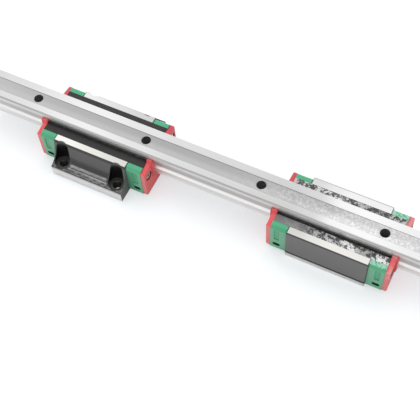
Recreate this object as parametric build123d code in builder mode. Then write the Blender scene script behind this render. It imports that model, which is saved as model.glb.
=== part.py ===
"""Profile-rail linear guide, size 15: one rail, a flanged carriage and a square carriage.

The guide lies upside down on the mounting faces of its carriages, with the base of the rail
on top. X runs along the rail, Y across it and Z up. The origin is under the middle of the
rail, in the plane of the mounting faces. Near is -Y and far is +Y, left is -X and right is +X.
All sizes are in millimetres.
"""

from build123d import *

import os
from math import asin, cos, floor, hypot, pi, sin, tan

# ---- Driving dimensions: the guide as a whole ----
assembly_height = 24.0  # mounting faces to rail base
leg_gap = 4.3  # rail base to the ground feet of the carriages
rail_length = 240.0
flanged_x = -53.05  # middle of the flanged carriage along the rail
square_x = 69.2  # middle of the square carriage along the rail

# ---- Rail ----
rail_width = 15.0
rail_height = 15.0
rail_base_chamfer = 0.5
rail_end_chamfer = 0.3
rail_head_bevel = 1.6  # at both edges of the head, as wide as it is high
relief_width = 6.8  # shallow relief along the middle of the base
relief_depth = 0.25
rail_hole_pitch = 60.0
rail_hole_count = 4
rail_bolt_hole = 4.5
rail_counterbore = 7.5
rail_counterbore_depth = 5.3
rail_hole_chamfer = 0.2

# ---- Balls, their tracks and their returns ----
ball_diameter = 3.175
ball_clearance = 0.05  # running clearance between a ball and its track, radial
return_clearance = 0.07  # the same in the return channels and turns
ball_gap = 0.08  # least gap from one ball to the next
track_offset = 0.4  # loaded ball centres outside the sides of the rail
return_offset = 4.5  # returning ball centres outside the loaded ones
base_row_drop = 7.2  # ball centres of the base row below the base of the rail
base_return_drop = 7.2
head_row_rise = 2.4  # ball centres of the head row above the head of the rail
head_return_rise = 1.3

# ---- Carriage blocks ----
block_length = 39.0
bore_gap = 1.5  # side of the rail to the wall of the bore between the two rows
lip_gap = 0.8  # side of the rail to the hook of the leg behind the base row
deck_gap = 2.4  # head of the rail to the floor of the bore
mounting_chamfer = 0.4
seal_pocket_width = 5.0  # pocket in the feet for a bottom seal, from the side of the rail
seal_pocket_depth = 1.0

square_width = 34.0
square_band_height = 3.76  # ground reference band beside the mounting face
square_band_step = 0.12  # how far the band stands proud of the blackened side
square_foot_chamfer_width = 1.13
square_foot_chamfer_height = 1.0
square_hole_spacing_x = 26.0
square_hole_spacing_y = 26.0
square_tap_radius = 1.65
square_tap_depth = 5.0

flange_width = 47.0
flange_thickness = 6.85  # at its edge
flange_chamfer = 0.45
flange_fillet = 5.0
flange_groove_width = 0.42
flange_groove_places = (0.6, 1.6, 3.1)  # fine grooves under the flange, from its edge
neck_half = 16.0  # flank of the flanged carriage at its feet
neck_root_half = 18.4  # where the flank would meet the top of the flange without a fillet
neck_root_height = 9.2
neck_foot_chamfer = 0.5
flanged_hole_spacing_x = 30.0
flanged_hole_spacing_y = 38.0
flanged_tap_radius = 2.1
flanged_thread_length = 6.0
spot_face_radius = 4.0

# ---- End caps and what they hold ----
cap_length = 8.0
cap_half = 15.9
cap_bottom = 1.0
cap_foot_drop = 0.1  # feet of the cap below the ground feet of the block
cap_facet_width = 1.3
cap_facet_height = 1.7
cap_bottom_chamfer = 0.5
cap_rail_clearance = 0.5
cap_slot_length = 3.8
cap_slot_width = 2.3
cap_slot_depth = 2.2
cap_slot_height = 4.9
cap_slot_inset = 3.1  # centre of the slot from the outer face of the cap
panel_length = 2.5  # shallow moulded panel on the side of the cap
panel_height = 8.6
panel_depth = 0.3
panel_drop = 6.3  # centre of the panel below the ground feet
oil_groove_width = 1.2
oil_groove_depth = 1.0
grease_port_height = 3.95
grease_port_radius = 1.65
plug_radius = 1.6
plug_length = 5.0
plug_socket_flats = 1.7
plug_socket_depth = 2.0
plug_recess = 0.2

guide_rim = 0.3  # flat left on the rim of a return guide
fit_gap = 0.05  # between pieces that only drop into each other

# ---- Seals, retainers and screws ----
end_seal_thickness = 2.3
end_seal_edge = 0.3  # chamfer round the outer face
end_seal_inset = 0.2  # sides and bottom of the end seal inside those of the cap
end_seal_shoulder_gap = 1.7  # side of the rail to the shoulders of the end seal
end_seal_collar_rise = 0.9  # collar round the rail, as wide as the shoulder gap
end_seal_collar_fillet = 0.45
end_seal_shoulder_drop = 0.2
end_seal_corner_drop = 1.3
end_seal_lip_width = 1.0  # the ends of the lips beside the rail
end_seal_lip_rise = 1.7
end_seal_rail_gap = 0.12
end_seal_port_radius = 2.2
bottom_seal_rail_gap = 0.2
bottom_seal_lip = 1.5
bottom_seal_lip_drop = 0.35
bottom_seal_drop = 0.1  # face of the bottom seal below the ground feet
retainer_rail_gap = 0.25
retainer_tab = 2.0
deck_retainer_web = 1.0
deck_retainer_inset = 0.3  # its sides inside the centres of the loaded balls
deck_retainer_wall = 0.6
deck_retainer_rise = 0.5  # walls of the deck retainer past the rail head
screw_inset = 0.4  # screws inside the centres of the returning balls, midway between the rows
screw_radius = 1.25
screw_hole_radius = 1.3
screw_hole_depth = 6.0
screw_grip = 5.0  # thread in the block
screw_head_radius = 2.2
screw_head_height = 1.5
screw_head_fillet = 0.5
screw_seat_radius = 2.45
screw_seat_depth = 1.2
screw_slot_length = 2.8
screw_slot_width = 0.6
screw_slot_depth = 0.7

# ---- Places worked out from them ----
rail_half = rail_width / 2
rail_head_z = assembly_height - rail_height
deck_thickness = rail_head_z - deck_gap
foot_z = assembly_height - leg_gap
foot_inner = rail_half + seal_pocket_width
seal_seat_z = foot_z - seal_pocket_depth
bore_half = rail_half + bore_gap
lip_half = rail_half + lip_gap
ball_radius = ball_diameter / 2
track_radius = ball_radius + ball_clearance
return_radius = ball_radius + return_clearance
track_half_span = rail_half + track_offset
return_half_span = track_half_span + return_offset
base_row_z = assembly_height - base_row_drop
head_row_z = rail_head_z + head_row_rise
rows = {
    "base": (base_row_z, assembly_height - base_return_drop),
    "head": (head_row_z, rail_head_z + head_return_rise),
}
screw_half_span = return_half_span - screw_inset
screw_z = (rows["base"][1] + rows["head"][1]) / 2
cap_end = block_length / 2 + cap_length
seal_end = cap_end + end_seal_thickness
sides = {"near": -1, "far": 1}
ends = {"left": -1, "right": 1}
track_centres = [(side * track_half_span, z) for side in sides.values() for z, _ in rows.values()]
return_centres = [(side * return_half_span, z) for side in sides.values() for _, z in rows.values()]

os.makedirs("parts", exist_ok=True)


def write(piece, name):
    """Label a finished piece and write it as its own STEP file."""
    piece.part.label = name
    export_step(piece.part, f"parts/{name}.step")


def rail_section(grow=0.0):
    """Cross-section of the rail, with every surface moved outwards by grow."""
    half = rail_half + grow
    land = rail_half - rail_head_bevel + grow * tan(pi / 8)
    head = rail_head_z - grow
    foot = assembly_height + grow
    relief = relief_width / 2
    with BuildSketch() as section:
        with BuildLine():
            half_outline = Polyline(
                (0, head),
                (land, head),
                (half, head + half - land),
                (half, foot - rail_base_chamfer),
                (half - rail_base_chamfer, foot),
                (relief, foot),
                (relief - relief_depth, foot - relief_depth),
                (0, foot - relief_depth),
            )
            mirror(half_outline, about=Plane.YZ)
        make_face()
        with Locations(*track_centres):
            Circle(track_radius - grow, mode=Mode.SUBTRACT)
    return section.sketch_local


def mirrored_face(*half_points):
    """Closed outline from its +Y half, whose first and last points lie on the middle plane."""
    with BuildSketch() as section:
        with BuildLine():
            half_outline = Polyline(*half_points)
            mirror(half_outline, about=Plane.YZ)
        make_face()
    return section.sketch_local


def turn_plane(x, side, row):
    """Plane of one ball turn: origin midway from track to return, X towards the return."""
    load_z, return_z = rows[row]
    across = side * (return_half_span - track_half_span)
    middle = (x, side * (track_half_span + return_half_span) / 2, (load_z + return_z) / 2)
    towards_return = Vector(0, across, return_z - load_z)
    return Plane(origin=middle, x_dir=towards_return, z_dir=towards_return.cross(Vector(1, 0, 0)))


def turn_radius(row):
    """Radius of the ball centres' path round a turn."""
    load_z, return_z = rows[row]
    return hypot(return_half_span - track_half_span, return_z - load_z) / 2


def end_planes(centre, end, x_offset, half_span, height):
    """Planes facing out of one end of a carriage, one on the near and one on the far side."""
    x = centre + end * x_offset
    return [Plane(origin=(x, side * half_span, height), z_dir=(end, 0, 0)) for side in sides.values()]


# ---- Rail: hardened and ground, bolted down from its head side ----
section = rail_section()
with BuildPart() as rail:
    with BuildSketch(Plane.YZ.offset(-rail_length / 2)):
        add(section)
    extrude(amount=rail_length)
    chamfer(rail.faces().filter_by(Axis.X).edges(), length=rail_end_chamfer)
    with Locations(Plane(origin=(0, 0, rail_head_z), z_dir=(0, 0, -1))):
        with GridLocations(rail_hole_pitch, 1, rail_hole_count, 1):
            CounterBoreHole(rail_bolt_hole / 2, rail_counterbore / 2, rail_counterbore_depth)
    rims = rail.edges().filter_by(GeomType.CIRCLE).group_by(Axis.Z)[-1]
    chamfer(rims, length=rail_hole_chamfer)
write(rail, "rail")


# ---- Carriage blocks: steel, blackened, with ground feet and mounting face ----
def bore_cut():
    """Everything open inside a block: bore, seal pockets, loaded tracks and return channels."""
    bore = mirrored_face(
        (0, deck_thickness),
        (track_half_span, deck_thickness),
        (track_half_span, head_row_z),
        (bore_half, head_row_z),
        (bore_half, base_row_z),
        (lip_half, base_row_z),
        (lip_half, seal_seat_z),
        (foot_inner, seal_seat_z),
        (foot_inner, assembly_height),
        (0, assembly_height),
    )
    with BuildSketch() as cut:
        add(bore)
        with Locations(*track_centres):
            Circle(track_radius)
        with Locations(*return_centres):
            Circle(return_radius)
    return cut.sketch_local


def square_outline():
    """Outer outline of the square block."""
    half = square_width / 2
    side = half - square_band_step
    return mirrored_face(
        (0, 0),
        (half - mounting_chamfer, 0),
        (half, mounting_chamfer),
        (half, square_band_height),
        (side, square_band_height + square_band_step),
        (side, foot_z - square_foot_chamfer_height),
        (side - square_foot_chamfer_width, foot_z),
        (0, foot_z),
    )


def flanged_outline():
    """Outer outline of the flanged block, whose flanks lean outward and run into the flanges."""
    half = flange_width / 2
    edge = half - flange_chamfer
    top = flange_thickness
    slope = (neck_root_height - top) / (edge - neck_root_half)
    with BuildSketch() as outline:
        with BuildLine():
            side_line = Polyline(
                (0, 0),
                (half - mounting_chamfer, 0),
                (half, mounting_chamfer),
                (half, top - flange_chamfer),
                (edge, top),
                (neck_root_half, neck_root_height),
                (neck_half, foot_z - neck_foot_chamfer),
                (neck_half - neck_foot_chamfer, foot_z),
                (0, foot_z),
            )
            mirror(side_line, about=Plane.YZ)
        make_face()
        for side in sides.values():
            root = (side * neck_root_half, neck_root_height)
            fillet(outline.vertices().sort_by_distance(root)[0], radius=flange_fillet)
        for side in sides.values():
            for place in flange_groove_places:
                with Locations((side * (half - place), top + slope * (place - flange_chamfer))):
                    Rectangle(flange_groove_width, flange_groove_width, rotation=45, mode=Mode.SUBTRACT)
    return outline.sketch_local


def block(centre, outline):
    """Steel body of a carriage, still without its mounting holes."""
    openings = bore_cut()
    with BuildPart() as body:
        with BuildSketch(Plane.YZ.offset(centre - block_length / 2)):
            add(outline)
            add(openings, mode=Mode.SUBTRACT)
        extrude(amount=block_length)
        for end in ends.values():
            with Locations(*end_planes(centre, end, block_length / 2, screw_half_span, screw_z)):
                Hole(screw_hole_radius, depth=screw_hole_depth)
    return body.part


def mounting_plane(centre):
    """Plane of the mounting face, looking out of it."""
    return Plane(origin=(centre, 0, 0), x_dir=(1, 0, 0), z_dir=(0, 0, -1))


flanged_body = block(flanged_x, flanged_outline())
with BuildPart() as flanged_block:
    add(flanged_body)
    with Locations(mounting_plane(flanged_x)):
        with GridLocations(flanged_hole_spacing_x, flanged_hole_spacing_y, 2, 2):
            Hole(flanged_tap_radius, depth=flanged_thread_length)
    with Locations(Plane(origin=(flanged_x, 0, assembly_height), z_dir=(0, 0, 1))):
        with GridLocations(flanged_hole_spacing_x, flanged_hole_spacing_y, 2, 2):
            Hole(spot_face_radius, depth=assembly_height - flanged_thread_length)
write(flanged_block, "flanged_block")

square_body = block(square_x, square_outline())
with BuildPart() as square_block:
    add(square_body)
    with Locations(mounting_plane(square_x)):
        with GridLocations(square_hole_spacing_x, square_hole_spacing_y, 2, 2):
            Hole(square_tap_radius, depth=square_tap_depth)
write(square_block, "square_block")


# ---- End caps: moulded plastic, turning each row of balls into its return channel ----
def end_cap(centre, end):
    """End cap with its ball turns, oil grooves, screw holes and grease port."""
    inner = centre + end * block_length / 2
    outer = centre + end * cap_end
    top = foot_z - cap_foot_drop
    outline = mirrored_face(
        (0, cap_bottom),
        (cap_half - cap_bottom_chamfer, cap_bottom),
        (cap_half, cap_bottom + cap_bottom_chamfer),
        (cap_half, top - cap_facet_height),
        (cap_half - cap_facet_width, top),
        (foot_inner, top),
        (foot_inner, seal_seat_z),
        (0, seal_seat_z),
    )
    opening = rail_section(cap_rail_clearance)
    turn_middle = (track_half_span + return_half_span) / 2
    retainer_middle = (base_row_z + head_row_z) / 2
    retainer_space = base_row_z - head_row_z - 2 * return_radius
    with BuildPart() as cap:
        with BuildSketch(Plane.YZ.offset(inner)):
            add(outline)
            add(opening, mode=Mode.SUBTRACT)
        extrude(amount=end * cap_length)

        for side in sides.values():
            for row in rows:
                guide_pocket = turn_radius(row) - guide_rim + fit_gap
                with Locations(turn_plane(inner, side, row)):
                    Torus(turn_radius(row), return_radius, mode=Mode.SUBTRACT)
                    Cylinder(guide_pocket, 2 * (return_radius + fit_gap), mode=Mode.SUBTRACT)

        with BuildSketch(Plane.YZ.offset(inner)):
            with Locations(*[(side * bore_half, retainer_middle) for side in sides.values()]):
                Rectangle(2 * bore_gap, retainer_space)
        extrude(amount=end * (retainer_tab + fit_gap), mode=Mode.SUBTRACT)

        riser = head_row_z - grease_port_height
        with BuildSketch(Plane.YZ.offset(inner)):
            with Locations((0, grease_port_height)):
                Rectangle(2 * turn_middle + oil_groove_width, oil_groove_width)
            with Locations(*[(side * turn_middle, grease_port_height) for side in sides.values()]):
                Rectangle(oil_groove_width, riser, align=(Align.CENTER, Align.MIN))
        extrude(amount=end * oil_groove_depth, mode=Mode.SUBTRACT)

        with Locations(*end_planes(centre, end, cap_end, screw_half_span, screw_z)):
            Hole(screw_hole_radius, depth=cap_length)
        with Locations(Plane(origin=(outer, 0, grease_port_height), z_dir=(end, 0, 0))):
            Hole(grease_port_radius, depth=cap_length)

        for side in sides.values():
            slot_x = outer - end * cap_slot_inset
            slot_origin = (slot_x, side * cap_half, cap_slot_height)
            panel_origin = (slot_x, side * cap_half, foot_z - panel_drop)
            with BuildSketch(Plane(origin=slot_origin, x_dir=(1, 0, 0), z_dir=(0, side, 0))):
                SlotOverall(cap_slot_length, cap_slot_width)
            extrude(amount=-cap_slot_depth, mode=Mode.SUBTRACT)
            with BuildSketch(Plane(origin=panel_origin, x_dir=(1, 0, 0), z_dir=(0, side, 0))):
                Rectangle(panel_length, panel_height)
            extrude(amount=-panel_depth, mode=Mode.SUBTRACT)
    return cap


# ---- Return guides: plastic half spools that the balls roll round inside the caps ----
def return_guides(centre, end):
    """The four return guides at one end of a carriage."""
    face = centre + end * block_length / 2
    with BuildPart() as guides:
        for side in sides.values():
            for row in rows:
                with Locations(turn_plane(face, side, row)):
                    Cylinder(turn_radius(row) - guide_rim, 2 * return_radius)
        for side in sides.values():
            for row in rows:
                with Locations(turn_plane(face, side, row)):
                    Torus(turn_radius(row), return_radius, mode=Mode.SUBTRACT)
        split(bisect_by=Plane(origin=(face, 0, 0), z_dir=(end, 0, 0)), keep=Keep.TOP)
    return guides


# ---- Balls: hardened steel, four endless circuits in each carriage ----
def circuit_point(row, travelled):
    """Place of a ball in the plane of its circuit: across it, then along the rail."""
    radius = turn_radius(row)
    turn = pi * radius
    half = block_length / 2
    if travelled < block_length:
        return -radius, travelled - half
    if travelled < block_length + turn:
        angle = (travelled - block_length) / radius
        return -radius * cos(angle), half + radius * sin(angle)
    if travelled < 2 * block_length + turn:
        return radius, half - (travelled - block_length - turn)
    angle = (travelled - 2 * block_length - turn) / radius
    return radius * cos(angle), -half - radius * sin(angle)


def ball_circuit(centre, side, row):
    """All the balls of one circuit, evenly spaced and clear of each other in the turns."""
    radius = turn_radius(row)
    plane = turn_plane(centre, side, row)
    path = 2 * block_length + 2 * pi * radius
    least_pitch = 2 * radius * asin((ball_diameter + ball_gap) / (2 * radius))
    count = floor(path / least_pitch)
    places = [circuit_point(row, path * i / count) for i in range(count)]
    with BuildPart() as balls:
        with Locations(*[plane.from_local_coords((across, along, 0)) for across, along in places]):
            Sphere(ball_radius)
    return balls


# ---- Retainers: thin strips that keep the balls in when the carriage is off the rail ----
def side_retainer(centre, side):
    """Strip between the two rows of one side, hooked into both end caps."""
    low = head_row_z + return_radius + fit_gap
    high = base_row_z - return_radius - fit_gap
    inner = rail_half + retainer_rail_gap
    with BuildPart() as strip:
        with BuildSketch(Plane.YZ.offset(centre)):
            with Locations((side * (inner + bore_half) / 2, (low + high) / 2)):
                Rectangle(bore_half - inner, high - low)
        extrude(amount=block_length / 2 + retainer_tab, both=True)
    return strip


def deck_retainer(centre):
    """Channel on the floor of the bore, whose walls hold the head rows."""
    wall_top = rail_head_z + deck_retainer_rise
    web_top = deck_thickness + deck_retainer_web
    outer = track_half_span - deck_retainer_inset
    inner = outer - deck_retainer_wall
    outline = mirrored_face(
        (0, deck_thickness),
        (outer, deck_thickness),
        (outer, wall_top),
        (inner, wall_top),
        (inner, web_top),
        (0, web_top),
    )
    with BuildPart() as channel:
        with BuildSketch(Plane.YZ.offset(centre)):
            add(outline)
        extrude(amount=block_length / 2, both=True)
    return channel


# ---- Seals: end seals wipe the rail, bottom seals close the gap under the legs ----
def end_seal(centre, end):
    """End seal with a raised collar, following the section of the rail with its lips."""
    half = cap_half - end_seal_inset
    bottom = cap_bottom + end_seal_inset
    outline = mirrored_face(
        (0, bottom),
        (half - cap_bottom_chamfer, bottom),
        (half, bottom + cap_bottom_chamfer),
        (half, foot_z - end_seal_corner_drop),
        (rail_half + end_seal_shoulder_gap, foot_z - end_seal_shoulder_drop),
        (rail_half + end_seal_lip_width, foot_z + end_seal_lip_rise),
        (0, foot_z + end_seal_lip_rise),
    )
    collar_half = rail_half + end_seal_shoulder_gap
    collar_head = rail_head_z - end_seal_shoulder_gap
    collar_land = rail_half - rail_head_bevel + end_seal_shoulder_gap * tan(pi / 8)
    collar = mirrored_face(
        (0, collar_head),
        (collar_land, collar_head),
        (collar_half, collar_head + collar_half - collar_land),
        (collar_half, foot_z - end_seal_shoulder_drop),
        (rail_half + end_seal_lip_width, foot_z + end_seal_lip_rise),
        (0, foot_z + end_seal_lip_rise),
    )
    opening = rail_section(end_seal_rail_gap)
    outermost = Axis.X if end > 0 else -Axis.X
    with BuildPart() as seal:
        with BuildSketch(Plane.YZ.offset(centre + end * cap_end)):
            add(outline)
        extrude(amount=end * end_seal_thickness)
        chamfer(seal.faces().sort_by(outermost)[-1].edges(), length=end_seal_edge)
        with BuildSketch(Plane.YZ.offset(centre + end * cap_end)):
            add(collar)
        extrude(amount=end * (end_seal_thickness + end_seal_collar_rise))
        fillet(seal.faces().sort_by(outermost)[-1].edges(), radius=end_seal_collar_fillet)
        with BuildSketch(Plane.YZ.offset(centre + end * cap_end)):
            add(opening)
        extrude(amount=end * (end_seal_thickness + end_seal_collar_rise), mode=Mode.SUBTRACT)
        with Locations(*end_planes(centre, end, seal_end, screw_half_span, screw_z)):
            Hole(screw_hole_radius, depth=end_seal_thickness)
            Hole(screw_seat_radius, depth=screw_seat_depth)
        port_origin = (centre + end * seal_end, 0, grease_port_height)
        with Locations(Plane(origin=port_origin, z_dir=(end, 0, 0))):
            Hole(end_seal_port_radius, depth=end_seal_thickness)
    return seal


def bottom_seal(centre, side):
    """Rubber strip in the foot of one leg, from end seal to end seal."""
    inner = rail_half + bottom_seal_rail_gap
    outer = foot_inner - fit_gap
    top = foot_z - bottom_seal_drop
    lip_tip = (seal_seat_z + top - bottom_seal_lip_drop) / 2
    points = [
        (outer, seal_seat_z),
        (outer, top),
        (inner + bottom_seal_lip, top),
        (inner, top - bottom_seal_lip_drop),
        (inner, lip_tip),
        (lip_half, seal_seat_z),
    ]
    with BuildPart() as strip:
        with BuildSketch(Plane.YZ.offset(centre)):
            with BuildLine():
                Polyline(*[(side * y, z) for y, z in points], close=True)
            make_face()
        extrude(amount=cap_end - fit_gap, both=True)
    return strip


# ---- Screws and plugs ----
def end_screws(centre, end):
    """The two cross-recessed screws that hold an end seal and an end cap to the block."""
    seat = seal_end - screw_seat_depth
    shank = seat - block_length / 2 + screw_grip
    planes = end_planes(centre, end, seat, screw_half_span, screw_z)
    tops = end_planes(centre, end, seat + screw_head_height, screw_half_span, screw_z)
    with BuildPart() as screws:
        with Locations(*planes):
            Cylinder(screw_head_radius, screw_head_height, align=(Align.CENTER, Align.CENTER, Align.MIN))
            Cylinder(screw_radius, shank, align=(Align.CENTER, Align.CENTER, Align.MAX))
        rims = screws.edges().filter_by(GeomType.CIRCLE).group_by(Axis.X)
        fillet(rims[-1] if end > 0 else rims[0], radius=screw_head_fillet)
        with Locations(*tops):
            for length, width in (
                (screw_slot_length, screw_slot_width),
                (screw_slot_width, screw_slot_length),
            ):
                Box(
                    length,
                    width,
                    screw_slot_depth,
                    align=(Align.CENTER, Align.CENTER, Align.MAX),
                    mode=Mode.SUBTRACT,
                )
    return screws


def grease_plug(centre, end):
    """Set screw with a hexagon socket, closing the grease port that faces the other carriage."""
    origin = (centre + end * (cap_end - plug_recess), 0, grease_port_height)
    face = Plane(origin=origin, z_dir=(end, 0, 0))
    with BuildPart() as plug:
        with Locations(face):
            Cylinder(plug_radius, plug_length, align=(Align.CENTER, Align.CENTER, Align.MAX))
        with BuildSketch(face):
            RegularPolygon(plug_socket_flats / 2, 6, major_radius=False)
        extrude(amount=-plug_socket_depth, mode=Mode.SUBTRACT)
    return plug


# ---- The two carriages ----
for carriage, centre, plugged_end in (("flanged", flanged_x, "right"), ("square", square_x, "left")):
    for end_name, end in ends.items():
        write(end_cap(centre, end), f"{carriage}_{end_name}_end_cap")
        write(return_guides(centre, end), f"{carriage}_{end_name}_return_guides")
        write(end_seal(centre, end), f"{carriage}_{end_name}_end_seal")
        write(end_screws(centre, end), f"{carriage}_{end_name}_screws")
    for side_name, side in sides.items():
        write(side_retainer(centre, side), f"{carriage}_{side_name}_retainer")
        write(bottom_seal(centre, side), f"{carriage}_{side_name}_bottom_seal")
        for row in rows:
            write(ball_circuit(centre, side, row), f"{carriage}_{side_name}_{row}_balls")
    write(deck_retainer(centre), f"{carriage}_deck_retainer")
    write(grease_plug(centre, ends[plugged_end]), f"{carriage}_grease_plug")
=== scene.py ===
"""Profile-rail linear guide, size 15: a rail with a flanged and a square carriage, upside down.

The guide lies on the mounting faces of its carriages. X runs along the rail, Y across it and
Z up; near is -Y and left is -X. Sizes of the guide are in millimetres, turned into metres by
MM; those of the floor, lamp and camera are in metres.
"""

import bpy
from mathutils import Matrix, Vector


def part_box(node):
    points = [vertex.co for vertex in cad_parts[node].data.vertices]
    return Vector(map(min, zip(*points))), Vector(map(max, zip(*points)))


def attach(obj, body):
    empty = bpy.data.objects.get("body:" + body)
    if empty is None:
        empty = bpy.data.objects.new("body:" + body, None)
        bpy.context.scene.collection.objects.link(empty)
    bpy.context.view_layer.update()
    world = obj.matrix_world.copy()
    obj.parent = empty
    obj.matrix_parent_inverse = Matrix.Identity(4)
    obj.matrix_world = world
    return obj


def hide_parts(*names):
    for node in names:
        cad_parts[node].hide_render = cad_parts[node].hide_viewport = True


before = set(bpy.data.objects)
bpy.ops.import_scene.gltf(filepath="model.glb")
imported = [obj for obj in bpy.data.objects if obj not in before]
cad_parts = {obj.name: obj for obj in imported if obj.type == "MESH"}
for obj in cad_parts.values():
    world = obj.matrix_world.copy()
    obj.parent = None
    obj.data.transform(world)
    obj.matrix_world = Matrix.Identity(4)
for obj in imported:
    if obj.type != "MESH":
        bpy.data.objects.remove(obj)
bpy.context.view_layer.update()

from math import cos, pi, radians, sin

import bmesh
import bpy
import numpy as np
from mathutils import Matrix, Vector

# ======== Rail ========
# A bar of hardened bearing steel, drawn to shape and then ground on its base, sides and ball
# tracks. The shallow relief along the middle of the base keeps the dull skin of the drawn bar,
# and four bolt holes go through it, dark inside.
MM = 0.001
merge_distance = 0.0005
flat_angle = 0.3  # degrees between the triangles of one flat face


def box(node):
    """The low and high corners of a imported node, in millimetres."""
    return [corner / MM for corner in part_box(node)]


rail_low, rail_high = box("rail")
rail_top = rail_high.z
rail_half = rail_high.y
rail_chamfer = 0.5
relief_half = 3.4
relief_depth = 0.25
rim_start = 6.62  # where painted shade darkens the near edge of the land
track_start = 5.8  # how near the ball tracks come to the middle
hole_pitch = 60.0
hole_radius = 2.25
counterbore_radius = 3.75
counterbore_depth = 5.3

# painted reflection: brightness of the ground faces and of the far and near sides of the relief,
# from the left end to the right end, as the sheen changes along the rail
land_shades = (
    (-120, 0.72), (-105, 0.76), (-60, 0.90), (-30, 0.80), (-15, 0.75), (15, 0.71),
    (45, 0.66), (56, 0.70), (68, 0.93), (80, 0.96), (105, 0.88), (120, 0.86),
)
relief_far_shades = (
    (-120, 0.57), (-75, 0.50), (-15, 0.46), (0, 0.465), (45, 0.50), (60, 0.50),
    (78, 0.63), (120, 0.68),
)
relief_near_shades = (
    (-120, 0.60), (-75, 0.58), (0, 0.56), (45, 0.57), (55, 0.62), (72, 0.79),
    (90, 0.76), (120, 0.66),
)
# brightness and metal of the sides, and brightness of the hole walls, from low to high: the
# brightness is painted reflection and shade in bands up the sides, and painted light and shade down the
# holes
side_shades = (
    (9.0, 0.73), (12.6, 0.75), (13.2, 0.95), (15.4, 0.93), (15.9, 0.88), (16.9, 0.82),
    (17.5, 0.60), (21.2, 0.60), (21.9, 0.80), (23.4, 0.84), (23.7, 0.42), (24.0, 0.42),
)
side_metals = ((9.0, 0.95), (20.7, 0.95), (21.8, 0.58), (24.0, 0.58))
hole_shades = ((5.0, 0.45), (15.0, 0.40), (20.0, 0.20), (22.5, 0.085), (24.0, 0.035))


def add_node(tree, kind, inputs=None, **settings):
    """A new shader node, with its inputs set to plain values or joined to other nodes."""
    node = tree.nodes.new("ShaderNode" + kind)
    for setting, value in settings.items():
        setattr(node, setting, value)
    for socket, value in (inputs or {}).items():
        if isinstance(value, bpy.types.NodeSocket):
            tree.links.new(value, node.inputs[socket])
        else:
            node.inputs[socket].default_value = value
    return node


def calculate(tree, operation, *values):
    """The result of one Math node."""
    return add_node(tree, "Math", dict(enumerate(values)), operation=operation).outputs[0]


def every(tree, *masks):
    """The product of several masks: 1 only where all of them are 1."""
    product = masks[0]
    for mask in masks[1:]:
        product = calculate(tree, "MULTIPLY", product, mask)
    return product


def either(tree, *masks):
    """The largest of several masks: 1 where any of them is 1."""
    largest = masks[0]
    for mask in masks[1:]:
        largest = calculate(tree, "MAXIMUM", largest, mask)
    return largest


def opposite(tree, mask):
    """A mask that is 1 where the given one is 0."""
    return calculate(tree, "SUBTRACT", 1.0, mask)


def rise(tree, value, limit, softness=0.03):
    """A mask that goes smoothly from 0 below the limit to 1 above it."""
    ramp = {"Value": value, "From Min": limit - softness, "From Max": limit + softness}
    return add_node(tree, "MapRange", ramp, interpolation_type="SMOOTHSTEP").outputs["Result"]


def drop(tree, value, limit, softness=0.03):
    """A mask that goes smoothly from 1 below the limit to 0 above it."""
    return opposite(tree, rise(tree, value, limit, softness))


def within(tree, value, low, high, softness=0.03):
    """A mask that is 1 between two limits and 0 outside them."""
    above_low = rise(tree, value, low, softness)
    return calculate(tree, "SUBTRACT", above_low, rise(tree, value, high, softness))


def distance_from(tree, first, second):
    """The length of a vector with two parts."""
    squares = [calculate(tree, "MULTIPLY", value, value) for value in (first, second)]
    return calculate(tree, "SQRT", calculate(tree, "ADD", *squares))


def mix_colours(tree, mask, first, second):
    """The first colour where the mask is 0, the second where it is 1."""
    return add_node(tree, "Mix", {"Factor": mask, 6: first, 7: second}, data_type="RGBA").outputs[2]


def mix_values(tree, mask, first, second):
    """The first value where the mask is 0, the second where it is 1."""
    return add_node(tree, "Mix", {"Factor": mask, 2: first, 3: second}, data_type="FLOAT").outputs[0]


def dimmed(tree, shade, mask, share):
    """A shade, times a share of it where the mask is 1."""
    return calculate(tree, "MULTIPLY", shade, mix_values(tree, mask, 1.0, share))


def graph(tree, value, points):
    """A smooth curve through (place, height) points, read off at value."""
    low, high = points[0][0], points[-1][0]
    share = {"Value": value, "From Min": low, "From Max": high}
    place = add_node(tree, "MapRange", share).outputs["Result"]
    node = add_node(tree, "ValToRGB", {"Fac": place})
    node.color_ramp.interpolation = "EASE"
    stops = node.color_ramp.elements
    for index, (at, height) in enumerate(points):
        if index < 2:
            stop = stops[index]
            stop.position = (at - low) / (high - low)
        else:
            stop = stops.new((at - low) / (high - low))
        stop.color = (height, height, height, 1)
    return node.outputs["Color"]


def cloud(tree, position, scale, stretch=(1, 1, 1), detail=2.0, roughness=0.5):
    """Noise from 0 to 1 in position, scale cycles a millimetre, squeezed by stretch."""
    squeezed = add_node(tree, "Mapping", {"Vector": position, "Scale": stretch}).outputs[0]
    inputs = {"Vector": squeezed, "Scale": scale, "Detail": detail, "Roughness": roughness}
    return add_node(tree, "TexNoise", inputs).outputs[0]


def bump(tree, height, depth, normal=None):
    """A normal from a height of 0 to 1 that stands for depth millimetres."""
    inputs = {"Height": height, "Distance": depth * MM, "Strength": 1.0}
    if normal is not None:
        inputs["Normal"] = normal
    return add_node(tree, "Bump", inputs).outputs[0]


def new_group(name, inputs, outputs):
    """An empty node group with named inputs and outputs, and its inner input and output nodes."""
    group = bpy.data.node_groups.new(name, "ShaderNodeTree")
    for socket, kind in inputs:
        group.interface.new_socket(socket, in_out="INPUT", socket_type="NodeSocket" + kind)
    for socket, kind in outputs:
        group.interface.new_socket(socket, in_out="OUTPUT", socket_type="NodeSocket" + kind)
    return group, group.nodes.new("NodeGroupInput"), group.nodes.new("NodeGroupOutput")


def use_group(tree, group, **inputs):
    """A placed copy of a node group, with its own values."""
    return add_node(tree, "Group", inputs, node_tree=group)


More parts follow.
